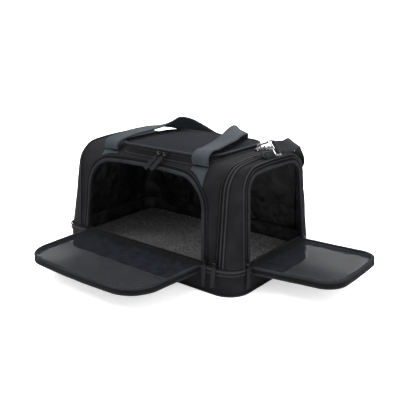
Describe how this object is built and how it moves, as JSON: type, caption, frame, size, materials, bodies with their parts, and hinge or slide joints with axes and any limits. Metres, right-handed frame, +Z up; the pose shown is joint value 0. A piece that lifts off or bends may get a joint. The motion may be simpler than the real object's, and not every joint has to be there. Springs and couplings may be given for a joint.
{
  "type": "pet carrier bag",
  "caption": "Soft-sided pet carrier bag with mesh doors opened flat at the front and one end, a mesh lid, webbing handles, a shoulder strap and a padded base.",
  "frame": {"origin": "middle of the base's underside, on the floor", "axes": "+X along the bag towards the end door, -Y towards the front door, +Z up"},
  "size_m": [0.6547, 0.5022, 0.279],
  "materials": {
    "body_fabric": "woven polyester, near-black, faint twill",
    "trim_fabric": "folded binding and piping, dark grey",
    "zip_tape": "woven tape with a nylon coil, black",
    "mesh_fabric": "open knitted mesh, black",
    "webbing": "woven webbing, dark slate",
    "pull_fabric": "folded grosgrain tab, dark grey",
    "fleece": "short-pile fleece, heather grey",
    "slider_metal": "black enamel",
    "ring_metal": "gunmetal black",
    "hook_metal": "polished nickel",
    "spring_steel": "plain wire",
    "base_board": "black sheet",
    "adjuster_plastic": "moulded, black"
  },
  "bodies": {
    "bag": {"bottom_panel": "body_fabric", "base_board": "base_board", "base_band": "body_fabric", "base_piping": "trim_fabric", "rim_ledge": "body_fabric", "front_panel": "body_fabric", "back_panel": "body_fabric", "top_panel": "body_fabric", "left_gusset": "body_fabric", "right_gusset": "body_fabric", "left_end_panel": "body_fabric", "right_end_frame": "body_fabric", "hoop_piping": "trim_fabric", "frame_hoops": "spring_steel", "front_binding": "trim_fabric", "front_zip_tape": "zip_tape", "end_binding": "trim_fabric", "end_zip_tape": "zip_tape", "expansion_zip_tape": "zip_tape", "lid_curb": "body_fabric", "front_handle_patches": "webbing", "rear_handle_patches": "webbing", "fleece_mat": "fleece", "ring_tab_right": "webbing", "ring_tab_left": "webbing", "shoulder_strap": "webbing", "strap_adjuster": "adjuster_plastic"},
    "front_door": {"front_door_mesh": "mesh_fabric", "front_door_binding": "trim_fabric", "front_door_tape": "zip_tape"},
    "end_door": {"end_door_mesh": "mesh_fabric", "end_door_binding": "trim_fabric", "end_door_tape": "zip_tape"},
    "lid": {"lid_mesh": "mesh_fabric", "lid_binding": "trim_fabric", "lid_zip_tape": "zip_tape"},
    "front_handle": {"front_handle": "webbing"},
    "rear_handle": {"rear_handle": "webbing"},
    "front_zip_slider": {"front_zip_slider": "slider_metal"},
    "front_zip_pull": {"front_zip_pull": "pull_fabric"},
    "end_zip_slider": {"end_zip_slider": "slider_metal"},
    "end_zip_pull": {"end_zip_pull": "pull_fabric"},
    "expansion_zip_slider": {"expansion_zip_slider": "slider_metal"},
    "expansion_zip_pull": {"expansion_zip_pull": "pull_fabric"},
    "lid_zip_left_slider": {"lid_zip_slider_left": "slider_metal"},
    "lid_zip_left_pull": {"lid_zip_pull_left": "pull_fabric"},
    "lid_zip_right_slider": {"lid_zip_slider_right": "slider_metal"},
    "lid_zip_right_pull": {"lid_zip_pull_right": "pull_fabric"},
    "ring_right_set": {"ring_right": "ring_metal", "hook_right": "hook_metal"},
    "swivel_right": {"swivel_eye_right": "hook_metal", "strap_end_right": "webbing"},
    "gate_right_lever": {"gate_right": "hook_metal"},
    "ring_left_set": {"ring_left": "ring_metal", "hook_left": "hook_metal"},
    "swivel_left": {"swivel_eye_left": "hook_metal", "strap_end_left": "webbing"},
    "gate_left_lever": {"gate_left": "hook_metal"}
  },
  "joints": [
    {"name": "front_door_hinge", "type": "hinge", "parent": "bag", "child": "front_door", "pos_m": [0, -0.1485, 0.051], "axis": [-1, 0, 0], "range_deg": [-15, 95]},
    {"name": "end_door_hinge", "type": "hinge", "parent": "bag", "child": "end_door", "pos_m": [0.2425, 0, 0.052], "axis": [0, -1, 0], "range_deg": [-15, 91]},
    {"name": "lid_hinge", "type": "hinge", "parent": "bag", "child": "lid", "pos_m": [0.023, 0.0957, 0.243], "axis": [-1, 0, 0], "range_deg": [0, 165], "deforming": ["front_handle"]},
    {"name": "front_handle_lift", "type": "hinge", "parent": "bag", "child": "front_handle", "pos_m": [0, -0.1075, 0.231], "axis": [1, 0, 0], "range_deg": [0, 130]},
    {"name": "rear_handle_lift", "type": "hinge", "parent": "bag", "child": "rear_handle", "pos_m": [0, 0.1142, 0.2257], "axis": [-1, 0, 0], "range_deg": [-160, 0]},
    {"name": "front_zip_slide", "type": "slide", "parent": "bag", "child": "front_zip_slider", "axis": [-0.0698, 0.0904, 0.9935], "range_m": [0, 0.082]},
    {"name": "front_zip_pull_swing", "type": "hinge", "parent": "front_zip_slider", "child": "front_zip_pull", "pos_m": [0.16908, -0.14544, 0.06274], "axis": [-0.9976, -0.0063, -0.0695], "range_deg": [0, 150]},
    {"name": "end_zip_slide", "type": "slide", "parent": "bag", "child": "end_zip_slider", "axis": [-0.0696, 0.0611, 0.9957], "range_m": [0, 0.1]},
    {"name": "end_zip_pull_swing", "type": "hinge", "parent": "end_zip_slider", "child": "end_zip_pull", "pos_m": [0.24262, -0.10593, 0.06257], "axis": [-0.0043, -0.9981, 0.0609], "range_deg": [-5, 150]},
    {"name": "expansion_zip_slide", "type": "slide", "parent": "bag", "child": "expansion_zip_slider", "axis": [0, 0.0906, 0.9959], "range_m": [0, 0.12]},
    {"name": "expansion_zip_pull_swing", "type": "hinge", "parent": "expansion_zip_slider", "child": "expansion_zip_pull", "pos_m": [0.193, -0.14535, 0.06374], "axis": [-1, 0, 0], "range_deg": [0, 150]},
    {"name": "lid_zip_left_slide", "type": "slide", "parent": "bag", "child": "lid_zip_left_slider", "axis": [-1, 0, 0], "range_m": [0, 0.076]},
    {"name": "lid_zip_left_pull_swing", "type": "hinge", "parent": "lid_zip_left_slider", "child": "lid_zip_left_pull", "pos_m": [0.026, -0.109, 0.2396], "axis": [-0.866, 0, 0.5], "range_deg": [0, 120]},
    {"name": "lid_zip_right_slide", "type": "slide", "parent": "bag", "child": "lid_zip_right_slider", "axis": [1, 0, 0], "range_m": [0, 0.055]},
    {"name": "lid_zip_right_pull_swing", "type": "hinge", "parent": "lid_zip_right_slider", "child": "lid_zip_right_pull", "pos_m": [0.041, -0.109, 0.2396], "axis": [-0.866, 0, 0.5], "range_deg": [0, 120]},
    {"name": "ring_swing_right", "type": "hinge", "parent": "bag", "child": "ring_right_set", "pos_m": [0.217, -0.007, 0.2454], "axis": [0, 1, 0], "range_deg": [-12, 12]},
    {"name": "hook_swivel_right", "type": "hinge", "parent": "ring_right_set", "child": "swivel_right", "pos_m": [0.20653, -0.028, 0.2588], "axis": [0.432, 0.9019, 0.0005], "range_deg": [-3, 8]},
    {"name": "gate_spring_right", "type": "hinge", "parent": "ring_right_set", "child": "gate_right_lever", "pos_m": [0.21483, -0.02089, 0.26191], "axis": [0.5196, -0.2484, -0.8175], "range_deg": [0, 16], "stiffness_Nm_per_rad": 0.02, "springref_deg": -5.73},
    {"name": "ring_swing_left", "type": "hinge", "parent": "bag", "child": "ring_left_set", "pos_m": [-0.20856, -0.007, 0.222], "axis": [0, 1, 0], "range_deg": [-2, 24]},
    {"name": "hook_swivel_left", "type": "hinge", "parent": "ring_left_set", "child": "swivel_left", "pos_m": [-0.22048, 0.01283, 0.20136], "axis": [-0.147, 0.7071, -0.6917], "range_deg": [-12, 12]},
    {"name": "gate_spring_left", "type": "hinge", "parent": "ring_left_set", "child": "gate_left_lever", "pos_m": [-0.21667, 0.0199, 0.19332], "axis": [-0.147, -0.7071, -0.6917], "range_deg": [0, 16], "stiffness_Nm_per_rad": 0.02, "springref_deg": -5.73}
  ]
}
